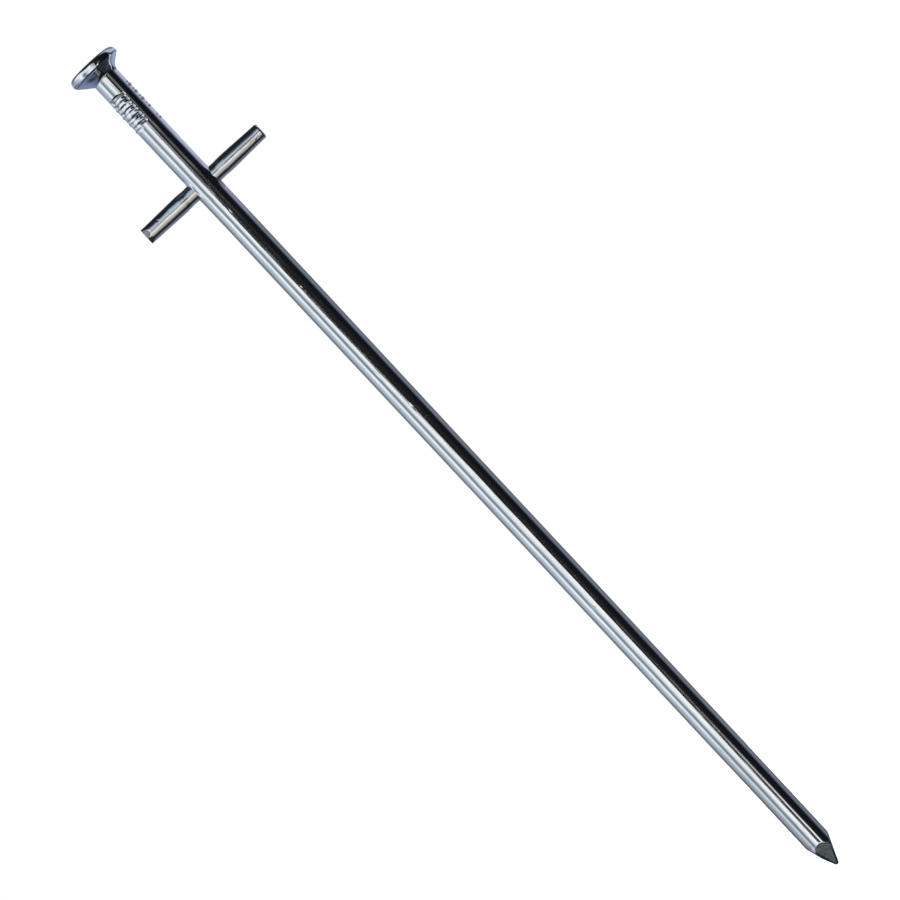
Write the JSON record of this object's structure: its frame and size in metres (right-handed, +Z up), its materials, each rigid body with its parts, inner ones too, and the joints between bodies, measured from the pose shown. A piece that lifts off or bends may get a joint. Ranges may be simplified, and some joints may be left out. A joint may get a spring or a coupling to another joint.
{
  "type": "tent stake",
  "caption": "Nail-type steel ground peg with a countersunk striking head, gripper marks, a four-sided point and a cross pin that holds a guy line.",
  "frame": {"origin": "the tip of the point, on the shank axis", "axes": "+Z up the shank towards the head, +X along the cross pin"},
  "size_m": [0.043, 0.0156, 0.3],
  "materials": {
    "stake_steel": "bright zinc plating over drawn wire, with a matte sheared point",
    "pin_steel": "bright zinc plating over cut wire"
  },
  "bodies": {
    "root": {"stake_body": "stake_steel", "cross_pin": "pin_steel"}
  },
  "joints": []
}
